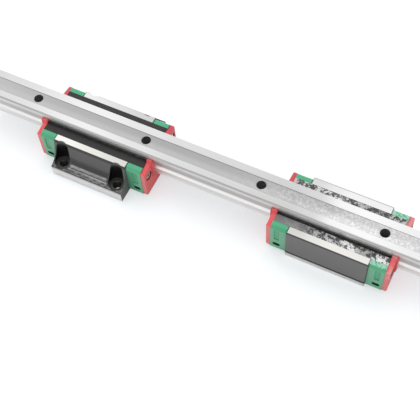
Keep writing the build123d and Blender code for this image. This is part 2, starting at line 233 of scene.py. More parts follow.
def grinding_group():
    """Marks of the grinding wheel: noise drawn out along X in fine and in coarse streaks."""
    group, start, end = new_group(
        "grinding_marks",
        [("Position", "Vector"), ("Depth", "Float")],
        [("Streaks", "Float"), ("Normal", "Vector")],
    )
    fine = cloud(group, start.outputs["Position"], 1.0, (0.06, 5.0, 5.0), 3.0, 0.6)
    coarse = cloud(group, start.outputs["Position"], 1.0, (0.015, 1.1, 1.1), 2.0)
    streaks = mix_values(group, 0.4, fine, coarse)
    distance = calculate(group, "MULTIPLY", start.outputs["Depth"], MM)
    normal = add_node(group, "Bump", {"Height": fine, "Distance": distance}).outputs[0]
    group.links.new(streaks, end.inputs["Streaks"])
    group.links.new(normal, end.inputs["Normal"])
    return group


def blotch_group():
    """Blotches with ragged edges: two sizes of noise, cut off at a level."""
    group, start, end = new_group(
        "blotches",
        [("Position", "Vector"), ("Scale", "Float"), ("Level", "Float"), ("Edge", "Float")],
        [("Mask", "Float"), ("Fine", "Float")],
    )
    position = start.outputs["Position"]
    large = cloud(group, position, start.outputs["Scale"], (1, 1, 1), 4.0, 0.6)
    fine_scale = calculate(group, "MULTIPLY", start.outputs["Scale"], 3.7)
    fine = cloud(group, position, fine_scale, (1, 1, 1), 3.0, 0.65)
    both = mix_values(group, 0.35, large, fine)
    low = calculate(group, "SUBTRACT", start.outputs["Level"], start.outputs["Edge"])
    high = calculate(group, "ADD", start.outputs["Level"], start.outputs["Edge"])
    ramp = {"Value": both, "From Min": low, "From Max": high}
    mask = add_node(group, "MapRange", ramp, interpolation_type="SMOOTHSTEP").outputs["Result"]
    group.links.new(mask, end.inputs["Mask"])
    group.links.new(fine, end.inputs["Fine"])
    return group


grinding = grinding_group()
blotches = blotch_group()


class Finish:
    """A new material, with the place on a piece in millimetres and its X from a middle."""

    def __init__(self, name, middle=0.0, **sockets):
        self.material = bpy.data.materials.new(name)
        self.material.use_nodes = True
        self.tree = self.material.node_tree
        self.shader = self.tree.nodes["Principled BSDF"]
        for socket, value in sockets.items():
            self.shader.inputs[socket.replace("_", " ")].default_value = value
        place = add_node(self.tree, "TexCoord").outputs["Object"]
        shift = {"Vector": place, "Location": (-middle, 0, 0), "Scale": (1 / MM,) * 3}
        self.position = add_node(self.tree, "Mapping", shift).outputs[0]
        parts = add_node(self.tree, "SeparateXYZ", {0: self.position})
        self.x, self.y, self.z = parts.outputs
        self.across = calculate(self.tree, "ABSOLUTE", self.y)
        self.along = calculate(self.tree, "ABSOLUTE", self.x)

    def join(self, **sockets):
        """Join what changes over the surface to the shader."""
        for socket, value in sockets.items():
            self.tree.links.new(value, self.shader.inputs[socket.replace("_", " ")])
        return self.material


def drawn_skin(finish):
    """Brightness of the relief: painted reflection along it and on its two sides, a grain, and blotches
    towards the right end.

    Gives the brightness and how worn the skin is.
    """
    tree = finish.tree
    # painted reflection: the near side of the relief lighter than the far side, both changing along the
    # rail
    towards_near = drop(tree, finish.y, -0.4, 1.6)
    far_skin = graph(tree, finish.x, relief_far_shades)
    near_skin = graph(tree, finish.x, relief_near_shades)
    skin = mix_values(tree, towards_near, far_skin, near_skin)
    grain = cloud(tree, finish.position, 3.0, (0.12, 1, 1), 4.0, 0.7)
    skin = calculate(tree, "MULTIPLY", skin, mix_values(tree, grain, 0.90, 1.10))
    speckled = rise(tree, finish.x, 30.0, 22.0)
    rubbed = use_group(tree, blotches, Position=finish.position, Scale=0.75, Level=0.53, Edge=0.06)
    pitted = use_group(tree, blotches, Position=finish.position, Scale=1.3, Level=0.44, Edge=0.05)
    skin = dimmed(tree, skin, every(tree, speckled, rubbed.outputs["Mask"]), 1.28)
    in_pits = opposite(tree, pitted.outputs["Mask"])
    skin = dimmed(tree, skin, every(tree, speckled, in_pits), 0.84)
    return skin, every(tree, speckled, rubbed.outputs["Fine"])


def rail_finish():
    """Ground steel, with the drawn skin in the relief and the dark walls of the bolt holes."""
    finish = Finish("ground_rail_steel", Metallic=1.0)
    tree = finish.tree
    upright = rise(tree, finish.across, rail_half - rail_chamfer + 0.03)
    mark_depth = mix_values(tree, upright, 0.004, 0.0008)
    marks = use_group(tree, grinding, Position=finish.position, Depth=mark_depth)
    streaks = mix_values(tree, marks.outputs["Streaks"], 0.93, 1.06)
    near = drop(tree, finish.y, 0.0)
    land = calculate(tree, "MULTIPLY", graph(tree, finish.x, land_shades), streaks)
    # painted shade along the near edge of the land
    land = dimmed(tree, land, every(tree, rise(tree, finish.across, rim_start, 0.25), near), 0.60)
    # painted reflection and shade in bands up the sides
    side = calculate(tree, "MULTIPLY", graph(tree, finish.z, side_shades), streaks)
    on_side = every(tree, upright, drop(tree, finish.z, rail_top - 0.02, 0.01))
    tracks = every(
        tree,
        rise(tree, finish.across, track_start),
        drop(tree, finish.z, rail_top - rail_chamfer - 0.05),
    )
    sides = either(tree, on_side, tracks)
    ground = mix_values(tree, sides, land, side)
    # painted highlight on the far edge and chamfer of the base
    far_rim = every(
        tree,
        rise(tree, finish.y, rail_half - rail_chamfer - 0.1),
        rise(tree, finish.z, rail_top - rail_chamfer - 0.2, 0.1),
    )
    ground = mix_values(tree, far_rim, ground, calculate(tree, "MULTIPLY", land, 1.1))

    on_base = rise(tree, finish.z, rail_top - relief_depth - 0.1)
    in_relief = every(tree, drop(tree, finish.across, relief_half - 0.06, 0.05), on_base)
    skin, worn = drawn_skin(finish)
    shade = mix_values(tree, in_relief, ground, skin)
    # painted shade in the thin lines along the edges of the relief, deeper on the far side
    beside_relief = within(tree, finish.across, relief_half - 0.17, relief_half + 0.03, 0.05)
    line_depth = mix_values(tree, rise(tree, finish.y, 0.0), 0.74, 0.42)
    shade = dimmed(tree, shade, every(tree, beside_relief, on_base), line_depth)

    from_left = calculate(tree, "SUBTRACT", finish.x, rail_low.x)
    along = calculate(tree, "MODULO", from_left, hole_pitch)
    along = calculate(tree, "SUBTRACT", along, hole_pitch / 2)
    radius = distance_from(tree, along, finish.y)
    in_bore = drop(tree, radius, hole_radius + 0.05, 0.02)
    in_counterbore = every(
        tree,
        drop(tree, radius, counterbore_radius + 0.03, 0.02),
        drop(tree, finish.z, rail_low.z + counterbore_depth + 0.05),
    )
    in_hole = either(tree, in_bore, in_counterbore)
    # painted light and shade down the walls of the bolt holes
    colour = mix_values(tree, in_hole, shade, graph(tree, finish.z, hole_shades))
    metal = mix_values(tree, sides, 1.0, graph(tree, finish.z, side_metals))
    metal = mix_values(tree, in_hole, metal, 0.0)
    roughness = mix_values(tree, marks.outputs["Streaks"], 0.20, 0.34)
    for mask, rough in ((in_relief, 0.5), (sides, 0.38), (in_hole, 0.9)):
        roughness = mix_values(tree, mask, roughness, rough)
    normal = bump(tree, every(tree, in_relief, worn), 0.02, marks.outputs["Normal"])
    return finish.join(Base_Color=colour, Roughness=roughness, Metallic=metal, Normal=normal)


def body_for(node):
    """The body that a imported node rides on."""
    return "rail" if node == "rail" else node.split("_")[0] + "_carriage"


def settle(piece, node):
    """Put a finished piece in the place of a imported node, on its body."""
    bpy.context.scene.collection.objects.link(piece)
    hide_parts(node)
    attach(piece, body_for(node))


def smooth(mesh, sharpest):
    """Shade a mesh smoothly, apart from edges that turn by more than an angle in degrees."""
    mesh.polygons.foreach_set("use_smooth", np.ones(len(mesh.polygons), dtype=bool))
    mesh.set_sharp_from_angle(angle=radians(sharpest))


def rounded(node, material, width, segments=2, sharpest=30):
    """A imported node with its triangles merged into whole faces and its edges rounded."""
    shape = bmesh.new()
    shape.from_mesh(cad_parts[node].data)
    bmesh.ops.remove_doubles(shape, verts=shape.verts, dist=merge_distance * MM)
    bmesh.ops.dissolve_limit(shape, angle_limit=radians(flat_angle), verts=shape.verts, edges=shape.edges)
    mesh = bpy.data.meshes.new(f"{node}_rounded")
    shape.to_mesh(mesh)
    shape.free()
    for layer in ("custom_normal", "sharp_face", "sharp_edge"):
        if layer in mesh.attributes:
            mesh.attributes.remove(mesh.attributes[layer])
    smooth(mesh, sharpest)
    mesh.materials.clear()
    mesh.materials.append(material)
    piece = bpy.data.objects.new(f"{node}_rounded", mesh)
    settle(piece, node)
    bevel = piece.modifiers.new("rounded_edges", "BEVEL")
    bevel.width = width * MM
    bevel.segments = segments
    bevel.limit_method = "ANGLE"
    bevel.angle_limit = radians(sharpest)
    bevel.harden_normals = True
    return piece


rounded("rail", rail_finish(), 0.08)

# ======== Carriage blocks ========
# Each block is a steel body, blackened all over and then ground on its mounting face, its feet
# and the reference bands or flange edges, and in its ball tracks. The mounting holes are
# tapped; those of the flanged block open into deep spot faces cut into its leaning flanks.
carriages = {}
block_sides = {}
for carriage in ("flanged", "square"):
    block_low, block_high = box(f"{carriage}_block")
    carriages[carriage] = (block_low.x + block_high.x) / 2
    block_sides[carriage] = block_high.y
block_reach = (block_high.x - block_low.x) / 2
foot_z = block_high.z
foot_edge = 15.6
flank_foot_z = 12.0
# heights of a dark line of painted shade along the top of the square block's reference band
band_line_low = 3.40
band_line_high = 4.15
track_half_span = rail_half + 0.4
track_rows = (rail_top - 7.2, rail_low.z + 2.4)
track_radius = 1.64
# depth of the ground skin on the sides; the holes: place along and across, and radius
ground_skins = {"flanged": 0.10, "square": 0.07}
hole_sizes = {"flanged": (15.0, 19.0, 2.1), "square": (13.0, 13.0, 1.65)}
thread_pitches = {"flanged": 0.8, "square": 0.7}
# painted light and shade: the dark line below a near foot, how deep and how soft; the darker rim
# of a near foot; and how bright the far foot is
foot_lines = {"flanged": (1.5, 0.30), "square": (0.55, 0.05)}
foot_rims = {"flanged": 0.15, "square": 0.25}
far_feet = {"flanged": 0.88, "square": 1.03}
spot_face_radius = 4.0
spot_face_floor = 6.0
shiny_wall_top = 17.0  # below this the wall of a spot face shines
fillet_end = 17.2
stripes_start = 19.6
stripes_end = 22.9
first_scratch = 19.75
scratch_pitch = 0.78
scratch_half_width = 0.12

# brightness: of the blackened skin; up the ground sides, with painted shade on the top of a flange's edge
# and in the dark line along the square block's band; and along the feet, as painted reflection
blacks = {"flanged": (0.087, 0.108), "square": (0.140, 0.162)}
band_shades = {
    "flanged": ((0.0, 0.92), (3.0, 0.92), (4.6, 0.92), (5.5, 0.74), (6.4, 0.40), (24.0, 0.80)),
    "square": (
        (0.0, 0.90), (2.0, 0.90), (2.75, 0.80), (3.05, 0.06), (4.2, 0.06), (4.5, 0.80),
        (24.0, 0.80),
    ),
}
foot_shades = {
    "flanged": ((-20, 1.0), (-15, 0.99), (0, 0.87), (15, 0.77), (20, 0.75)),
    "square": ((-20, 0.70), (-15, 0.72), (-8, 0.82), (0, 0.88), (20, 0.86)),
}
# brightness across the top of a flange, from the flank to its edge: painted shade along the fillet, then
# bright stripes for the scratches of the last pass, partly painted reflection
flange_stripes = (
    (17.4, 0.075), (17.9, 0.045), (18.3, 0.020), (18.7, 0.015), (19.15, 0.020), (19.5, 0.10),
    (19.85, 0.33), (20.3, 0.36), (20.6, 0.12), (21.1, 0.08), (21.35, 0.34), (21.65, 0.33),
    (21.9, 0.09), (22.35, 0.07), (22.6, 0.20), (22.8, 0.17), (23.0, 0.05), (23.5, 0.05),
)
# brightness up the wall of a spot face, and over its floor from the hole to the wall: painted shade in
# the hollow, lighter towards the top of the wall
pocket_wall_shades = ((6.0, 0.045), (14.5, 0.050), (17.0, 0.06), (18.3, 0.11), (19.7, 0.15))
pocket_floor_shades = ((2.1, 0.085), (2.5, 0.065), (3.2, 0.040), (3.7, 0.060), (4.0, 0.10))


def thread_group():
    """A screw thread seen from its axis: height against depth plus the turn round the axis."""
    group, start, end = new_group(
        "screw_thread",
        [("Across", "Float"), ("Along", "Float"), ("Deep", "Float"), ("Pitch", "Float")],
        [("Height", "Float")],
    )
    turned = calculate(group, "ARCTAN2", start.outputs["Across"], start.outputs["Along"])
    turned = calculate(group, "DIVIDE", turned, 2 * pi)
    lead = calculate(group, "DIVIDE", start.outputs["Deep"], start.outputs["Pitch"])
    height = calculate(group, "PINGPONG", calculate(group, "ADD", lead, turned), 0.5)
    group.links.new(calculate(group, "MULTIPLY", height, 2.0), end.inputs["Height"])
    return group


thread = thread_group()


def tinted(tree, tint, shade):
    """A colour times a brightness."""
    return add_node(tree, "VectorMath", {0: tint, 1: shade}, operation="MULTIPLY").outputs[0]


def flange_top(finish, streaks, radius):
    """Brightness of a flange's top: bright stripes with broken scratches, and painted shade round its
    holes.
    """
    tree = finish.tree
    streaky = mix_values(tree, rise(tree, streaks, 0.5, 0.10), 0.66, 1.36)
    stripes = calculate(tree, "MULTIPLY", graph(tree, finish.across, flange_stripes), streaky)
    from_line = calculate(tree, "SUBTRACT", finish.across, first_scratch)
    from_line = calculate(tree, "PINGPONG", from_line, scratch_pitch / 2)
    broken = rise(tree, cloud(tree, finish.position, 1.0, (0.45, 1.6, 1.6), 1.0), 0.52, 0.05)
    scratches = every(
        tree,
        drop(tree, from_line, scratch_half_width, 0.05),
        within(tree, finish.across, stripes_start, stripes_end),
        broken,
    )
    stripes = mix_values(tree, scratches, stripes, 0.60)
    # painted shade round the spot faces
    past_fillet = calculate(tree, "SUBTRACT", finish.across, fillet_end)
    clear = rise(tree, either(tree, radius, past_fillet), spot_face_radius + 0.9, 0.5)
    return mix_values(tree, clear, 0.040, stripes)


def flanged_black(finish, black, streaks, radius, end_face):
    """The blackened skin of the flanged block: flanges, end faces and spot faces, with painted light on
    the end faces and painted shade in the spot faces.

    Gives the brightness and the mask of the shiny lower walls of the spot faces.
    """
    tree = finish.tree
    below_flank = every(tree, drop(tree, finish.z, flank_foot_z, 0.4), opposite(tree, end_face))
    black = mix_values(tree, below_flank, black, flange_top(finish, streaks, radius))
    # painted light: the end faces lighter than the rest of the skin
    black = mix_values(tree, end_face, black, 0.130)
    in_pocket = drop(tree, radius, spot_face_radius + 0.04, 0.02)
    on_wall = every(tree, in_pocket, rise(tree, finish.z, spot_face_floor + 0.08, 0.04))
    at_floor = within(tree, finish.z, spot_face_floor - 0.1, spot_face_floor + 0.08, 0.04)
    # painted shade up the walls and over the floors of the spot faces
    black = mix_values(tree, on_wall, black, graph(tree, finish.z, pocket_wall_shades))
    rings = graph(tree, radius, pocket_floor_shades)
    black = mix_values(tree, every(tree, in_pocket, at_floor), black, rings)
    return black, every(tree, on_wall, drop(tree, finish.z, shiny_wall_top, 1.2))


def block_finish(carriage, middle):
    """Blackened steel with ground faces and threaded holes."""
    finish = Finish(f"{carriage}_block_steel", middle, IOR=1.6)
    tree = finish.tree
    near = drop(tree, finish.y, 0.0)
    marks = use_group(tree, grinding, Position=finish.position, Depth=0.003)
    streaks = marks.outputs["Streaks"]
    feet = rise(tree, finish.z, foot_z - 0.05, 0.02)
    sides = rise(tree, finish.across, block_sides[carriage] - ground_skins[carriage], 0.01)
    mounting = drop(tree, finish.z, 0.05, 0.02)
    ground_faces = either(tree, sides, mounting, feet)
    beside = calculate(tree, "SUBTRACT", finish.across, track_half_span)
    for row in track_rows:
        above = calculate(tree, "SUBTRACT", finish.z, row)
        track = drop(tree, distance_from(tree, beside, above), track_radius + 0.02, 0.01)
        ground_faces = either(tree, ground_faces, track)

    hole_x, hole_y, tap_radius = hole_sizes[carriage]
    along = calculate(tree, "SUBTRACT", finish.along, hole_x)
    across = calculate(tree, "SUBTRACT", finish.across, hole_y)
    radius = distance_from(tree, along, across)
    in_hole = every(
        tree,
        drop(tree, radius, tap_radius + 0.04, 0.02),
        drop(tree, finish.z, spot_face_floor + 0.1),
    )

    patches = cloud(tree, finish.position, 0.35, (0.5, 1, 1), 4.0, 0.6)
    grain = cloud(tree, finish.position, 6.0, detail=2.0)
    black = mix_values(tree, patches, *blacks[carriage])
    black = calculate(tree, "MULTIPLY", black, mix_values(tree, grain, 0.9, 1.1))
    line_depth, line_softness = foot_lines[carriage]
    # painted shade in the dark line below the near foot
    under_foot = every(
        tree,
        within(tree, finish.z, foot_z - line_depth, foot_z - 0.06, line_softness),
        rise(tree, finish.across, foot_edge, 0.05),
        near,
    )
    shading = mix_values(tree, under_foot, 1.0, 0.28)
    end_face = rise(tree, finish.along, block_reach - 0.02, 0.01)
    shiny = 0.0
    if carriage == "flanged":
        black, shiny = flanged_black(finish, black, streaks, radius, end_face)
    else:
        # painted shade: the dark line along the top of the reference band, in the blackened skin
        on_band_line = within(tree, finish.z, band_line_low, band_line_high, 0.05)
        shading = dimmed(tree, shading, on_band_line, 0.15)
    black = calculate(tree, "MULTIPLY", black, shading)
    # painted light: the far side below the foot lighter than the skin
    far_edge = every(tree, rise(tree, finish.z, foot_z - 0.95), rise(tree, finish.y, foot_edge))
    black = mix_values(tree, far_edge, black, 0.45)
    # painted light: the tapped holes lighter than the skin round them, with a brown tint
    black = mix_values(tree, in_hole, black, 0.150)
    skin_tint = mix_colours(tree, in_hole, (1.0, 0.995, 1.01, 1), (1.0, 0.90, 0.84, 1))
    black = tinted(tree, skin_tint, black)

    polish = mix_values(tree, streaks, 0.93, 1.07)
    ground = calculate(tree, "MULTIPLY", polish, graph(tree, finish.z, band_shades[carriage]))
    # painted reflection along the feet; painted shade at their ends beside the caps and on the outer rim
    # of the near foot; the far foot painted darker or lighter
    foot = calculate(tree, "MULTIPLY", polish, graph(tree, finish.x, foot_shades[carriage]))
    foot = dimmed(tree, foot, rise(tree, finish.along, block_reach - 0.22, 0.05), 0.12)
    foot = dimmed(tree, foot, rise(tree, finish.y, 0.0), far_feet[carriage])
    outer = rise(tree, finish.across, foot_edge + foot_rims[carriage], 0.15)
    foot = dimmed(tree, foot, every(tree, outer, near), 0.25)
    foot_tint = mix_colours(tree, every(tree, feet, near), (1, 1, 1, 1), (1.0, 0.985, 0.94, 1))
    bright = tinted(tree, foot_tint, mix_values(tree, feet, ground, foot))
    metal = every(tree, ground_faces, opposite(tree, in_hole))
    colour = mix_colours(tree, metal, black, bright)
    metal = either(tree, metal, shiny, in_hole)
    roughness = mix_values(tree, metal, mix_values(tree, grain, 0.42, 0.52), 0.32)
    pitch = thread_pitches[carriage]
    spiral = use_group(tree, thread, Across=across, Along=along, Deep=finish.z, Pitch=pitch)
    turns = every(tree, spiral.outputs["Height"], in_hole)
    normal = bump(tree, turns, 0.30, marks.outputs["Normal"])
    return finish.join(Base_Color=colour, Roughness=roughness, Metallic=metal, Normal=normal)


for carriage, middle in carriages.items():
    rounded(f"{carriage}_block", block_finish(carriage, middle), 0.10)

# ======== Balls, return guides and retainers ========
# Polished bearing balls in four endless rows a carriage, with the dark moulded half spools that
# they roll round and the dark strips that keep them in when the carriage is off its rail.


def dress(node, material):
    """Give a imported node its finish."""
    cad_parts[node].material_slots[0].material = material


def ball_finish():
    """Polished bearing steel under a thin film of oil."""
    finish = Finish("polished_ball_steel", Metallic=1.0, Coat_Weight=0.3, Coat_Roughness=0.05)
    tree = finish.tree
    tint = cloud(tree, finish.position, 0.4, detail=2.0)
    colour = mix_colours(tree, tint, (0.72, 0.72, 0.72, 1), (0.84, 0.83, 0.80, 1))
    scuffs = cloud(tree, finish.position, 6.0, detail=3.0)
    return finish.join(Base_Color=colour, Roughness=mix_values(tree, scuffs, 0.06, 0.16))


def retainer_finish():
    """Dark moulded plastic with a fine matt skin."""
    finish = Finish("dark_retainer_plastic")
    tree = finish.tree
    grain = cloud(tree, finish.position, 9.0, detail=2.0)
    colour = mix_colours(tree, grain, (0.020, 0.020, 0.021, 1), (0.034, 0.034, 0.035, 1))
    roughness = mix_values(tree, grain, 0.42, 0.58)
    return finish.join(Base_Color=colour, Roughness=roughness, Normal=bump(tree, grain, 0.006))


ball_material = ball_finish()
retainer_material = retainer_finish()
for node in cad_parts:
    if node.endswith("_balls"):
        dress(node, ball_material)
    if node.endswith(("_return_guides", "_retainer")):
        dress(node, retainer_material)

# ======== End caps ========
# Green moulded plastic, turning each row of balls round into its return channel. The side has a
# shallow moulded panel and a slot that takes the clip of an optional scraper.
cap_high = box("square_right_end_cap")[1]
cap_reach = cap_high.x - carriages["square"]
cap_half = cap_high.y
slot_from_end = 3.1
slot_half_length = 2.1
slot_low = 3.5
slot_high = 6.3
slot_floor = 13.4
panel_half_length = 1.25
panel_low = 9.1
panel_high = 17.7
panel_edge = 0.30
splash_depth = 0.3  # how far the oil, painted as pale glints, runs down from the foot of a cap


def moulded_group():
    """Skin of a moulded piece: slow changes of shade and a fine eroded grain."""
    group, start, end = new_group(
        "moulded_skin",
        [("Position", "Vector"), ("Depth", "Float")],
        [("Shade", "Float"), ("Grain", "Float"), ("Normal", "Vector")],
    )
    position = start.outputs["Position"]
    shade = cloud(group, position, 0.16, (1, 1, 1), 3.0, 0.55)
    grain = cloud(group, position, 7.0, (1, 1, 1), 2.0, 0.6)
    distance = calculate(group, "MULTIPLY", start.outputs["Depth"], MM)
    normal = add_node(group, "Bump", {"Height": grain, "Distance": distance}).outputs[0]
    group.links.new(shade, end.inputs["Shade"])
    group.links.new(grain, end.inputs["Grain"])
    group.links.new(normal, end.inputs["Normal"])
    return group


moulded = moulded_group()


def overlaid(tree, colour, overlay_colour, *masks):
    """A colour with another colour laid over it, as strong as the product of the masks; here mostly
    painted shade, painted reflection and painted glints.
    """
    return mix_colours(tree, every(tree, *masks), colour, overlay_colour)


def cap_finish(carriage, middle):
    """Green plastic: painted reflection makes the sides paler; painted shade darkens the slot, the edges
    of the panel and the joint with the block.
    """
    finish = Finish(f"{carriage}_cap_plastic", middle, Coat_Weight=0.15, Coat_Roughness=0.35)
    tree = finish.tree
    skin = use_group(tree, moulded, Position=finish.position, Depth=0.006)
    shade = skin.outputs["Shade"]
    colour = mix_colours(tree, shade, (0.062, 0.375, 0.190, 1), (0.092, 0.475, 0.255, 1))
    on_side = rise(tree, finish.across, cap_half - 0.05)
    on_right = rise(tree, finish.x, block_reach)
    # painted reflection: the sides paler
    colour = overlaid(tree, colour, (0.40, 0.60, 0.50, 1), on_side, 0.26)
    from_end = calculate(tree, "SUBTRACT", cap_reach, finish.along)
    beside_slot = calculate(tree, "SUBTRACT", from_end, slot_from_end)
    beside_slot = calculate(tree, "ABSOLUTE", beside_slot)
    in_slot = every(
        tree,
        drop(tree, beside_slot, slot_half_length),
        within(tree, finish.z, slot_low, slot_high),
        within(tree, finish.across, slot_floor, cap_half - 0.12),
    )
    # painted shade in the slot
    colour = mix_colours(tree, in_slot, colour, (0.003, 0.062, 0.026, 1))
    panel = every(
        tree,
        drop(tree, beside_slot, panel_half_length + 0.05),
        within(tree, finish.z, panel_low - 0.05, panel_high),
    )
    inner = every(
        tree,
        drop(tree, beside_slot, panel_half_length - panel_edge, 0.08),
        rise(tree, finish.z, panel_low + panel_edge + 0.05, 0.08),
    )
    # painted shade along the edges of the moulded panel
    panel_line = every(tree, on_side, panel, opposite(tree, inner))
    colour = overlaid(tree, colour, (0.020, 0.19, 0.085, 1), panel_line, 0.45)
    # painted shade along the joint with the block
    joint = drop(tree, finish.along, block_reach + 0.34, 0.05)
    colour = overlaid(tree, colour, (0.006, 0.05, 0.022, 1), joint, 0.85)
    if carriage == "flanged":
        # painted shade on the side of the right cap, darkest beside the block
        fading = graph(tree, finish.x, ((19.0, 0.60), (22.5, 0.45), (24.5, 0.15), (26.0, 0.0)))
        colour = overlaid(tree, colour, (0.022, 0.230, 0.095, 1), fading, on_side, on_right)
    else:
        # oil drops on the top of the right cap, their shine painted as pale glints
        drops = use_group(
            tree, blotches, Position=finish.position, Scale=1.0, Level=0.49, Edge=0.03
        )
        oil_glints = every(
            tree,
            drops.outputs["Mask"],
            on_right,
            rise(tree, finish.z, cap_high.z - splash_depth, 0.1),
        )
        colour = overlaid(tree, colour, (0.60, 0.86, 0.74, 1), oil_glints, 0.55)
    roughness = mix_values(tree, skin.outputs["Grain"], 0.30, 0.44)
    return finish.join(Base_Color=colour, Roughness=roughness, Normal=skin.outputs["Normal"])


for carriage, middle in carriages.items():
    cap_material = cap_finish(carriage, middle)
    for end in ("left", "right"):
        rounded(f"{carriage}_{end}_end_cap", cap_material, 0.18)

# ======== End seals ========
# Red moulded plates screwed on over the caps, with a raised rubber collar that follows the
# section of the rail and wipes it.
plate_reach = cap_reach + 2.3
plate_side = box("square_right_end_seal")[1].y - 0.08
screw_half_span = 12.0
screw_z = 13.55
seat_radius = 2.45
splash_low = 13.5  # lowest oil, painted as pale glints, on the edge of a seal


def seal_finish(carriage, middle):
    """Red rubber with a soft bloom and a painted reflection, so that its sides look paler; painted shade
    on the far side and in the seats round the screws.
    """
    finish = Finish(f"{carriage}_seal_rubber", middle, Sheen_Weight=0.30, Sheen_Roughness=0.4)
    finish.shader.inputs["Sheen Tint"].default_value = (1.0, 0.75, 0.75, 1)
    tree = finish.tree
    skin = use_group(tree, moulded, Position=finish.position, Depth=0.005)
    shade = skin.outputs["Shade"]
    colour = mix_colours(tree, shade, (0.76, 0.080, 0.090, 1), (0.88, 0.130, 0.135, 1))
    # painted reflection: the sides paler
    on_side = rise(tree, finish.across, plate_side, 0.04)
    colour = overlaid(tree, colour, (0.86, 0.50, 0.50, 1), on_side, 0.25)
    # painted shade on the far side
    far_side = rise(tree, finish.y, 0.0)
    colour = overlaid(tree, colour, (0.42, 0.030, 0.070, 1), far_side, 0.45)
    on_collar = rise(tree, finish.along, plate_reach + 0.1, 0.05)
    colour = overlaid(tree, colour, (0.40, 0.020, 0.030, 1), on_collar, 0.35)
    # painted shade in the seats round the screws
    round_screw = distance_from(
        tree,
        calculate(tree, "SUBTRACT", finish.across, screw_half_span),
        calculate(tree, "SUBTRACT", finish.z, screw_z),
    )
    in_seat = every(
        tree,
        drop(tree, round_screw, seat_radius + 0.03, 0.02),
        drop(tree, finish.along, plate_reach - 0.05, 0.03),
    )
    colour = mix_colours(tree, in_seat, colour, (0.045, 0.006, 0.005, 1))
    if carriage == "square":
        # oil on the right edge of the seal, its shine painted as pale glints
        drops = use_group(
            tree, blotches, Position=finish.position, Scale=0.30, Level=0.47, Edge=0.10
        )
        on_edge = every(
            tree,
            rise(tree, finish.x, block_reach),
            drop(tree, finish.along, plate_reach - 0.03, 0.02),
        )
        oil_glints = every(tree, drops.outputs["Mask"], on_edge, rise(tree, finish.z, splash_low, 1.0))
        colour = overlaid(tree, colour, (0.90, 0.48, 0.46, 1), oil_glints, 0.5)
    roughness = mix_values(tree, skin.outputs["Grain"], 0.36, 0.50)
    return finish.join(Base_Color=colour, Roughness=roughness, Normal=skin.outputs["Normal"])


for carriage, middle in carriages.items():
    seal_material = seal_finish(carriage, middle)
    for end in ("left", "right"):
        rounded(f"{carriage}_{end}_end_seal", seal_material, 0.12)

# ======== Bottom seals ========
# Black rubber strips let into the feet, with a lip beside the rail. Those of the square
# carriage carry smears and drops of preserving oil, which catch the light.
# painted shade: how far the dark band beside the rail reaches on the dry and on the oiled strips, and how
# dark it is
dry_lip_reach = 9.1
oiled_lip_reach = 8.6
lip_shade = 0.005

# brightness along each oiled strip, painted reflection of the oil film, and how much its blotches change
# it
oil_shades = {
    "near": (
        (-28, 0.18), (-17, 0.24), (-12, 0.19), (-8, 0.20), (0, 0.17), (6, 0.24),
        (10, 0.30), (14, 0.05), (18, 0.09), (22, 0.42), (25, 0.30), (28, 0.34),
    ),
    "far": (
        (-28, 0.24), (-20, 0.18), (-14, 0.28), (-5, 0.46), (0, 0.27), (8, 0.22),
        (13, 0.08), (17, 0.06), (20, 0.16), (28, 0.28),
    ),
}
oil_smears = {
    "near": (
        (-28, 0.02), (-18, 0.05), (-13, 0.14), (-9, 0.40), (0, 0.70), (6, 1.20),
        (10, 1.20), (14, 0.60), (18, 0.60), (22, 1.1), (28, 0.8),
    ),
    "far": (
        (-28, 0.6), (-20, 0.9), (-14, 0.7), (-5, 0.7), (0, 0.5), (8, 0.40),
        (13, 0.35), (17, 0.35), (20, 0.6), (28, 0.5),
    ),
}


def dry_strip_finish(middle):
    """Black rubber, with painted shade along the lip beside the rail."""
    finish = Finish("dry_strip_rubber", middle)
    tree = finish.tree
    skin = use_group(tree, moulded, Position=finish.position, Depth=0.008)
    rubber = mix_values(tree, skin.outputs["Shade"], 0.020, 0.032)
    shade = mix_values(tree, drop(tree, finish.across, dry_lip_reach, 0.12), rubber, lip_shade)
    roughness = mix_values(tree, skin.outputs["Grain"], 0.50, 0.62)
    return finish.join(Base_Color=shade, Roughness=roughness, Normal=skin.outputs["Normal"])


def oiled_strip_finish(side, middle):
    """Black rubber under oil: a brightness along X, painted reflection of the oil film, broken up by
    blotches where it is smeared.
    """
    finish = Finish(f"oiled_{side}_strip_rubber", middle)
    tree = finish.tree
    skin = use_group(tree, moulded, Position=finish.position, Depth=0.008)
    lip = drop(tree, finish.across, oiled_lip_reach, 0.12)
    ragged = use_group(
        tree, blotches, Position=finish.position, Scale=0.42, Level=0.50, Edge=0.030
    )
    fine = calculate(tree, "SUBTRACT", ragged.outputs["Fine"], 0.5)
    spread = calculate(tree, "SUBTRACT", ragged.outputs["Mask"], 0.5)
    spread = calculate(tree, "ADD", spread, calculate(tree, "MULTIPLY", fine, 0.9))
    amount = graph(tree, finish.x, oil_smears[side])
    spread = calculate(tree, "MULTIPLY", spread, amount)
    oil = calculate(tree, "ADD", graph(tree, finish.x, oil_shades[side]), spread)
    oil = calculate(tree, "MINIMUM", calculate(tree, "MAXIMUM", oil, 0.018), 0.85)
    # painted shade along the lip beside the rail
    shade = mix_values(tree, lip, oil, lip_shade)
    wet = every(tree, rise(tree, amount, 0.12, 0.10), opposite(tree, lip))
    roughness = mix_values(tree, skin.outputs["Grain"], 0.50, 0.62)
    roughness = mix_values(tree, wet, roughness, 0.16)
    film = every(tree, wet, ragged.outputs["Fine"])
    normal = bump(tree, film, 0.05, skin.outputs["Normal"])
    return finish.join(Base_Color=shade, Roughness=roughness, Coat_Weight=wet, Normal=normal)


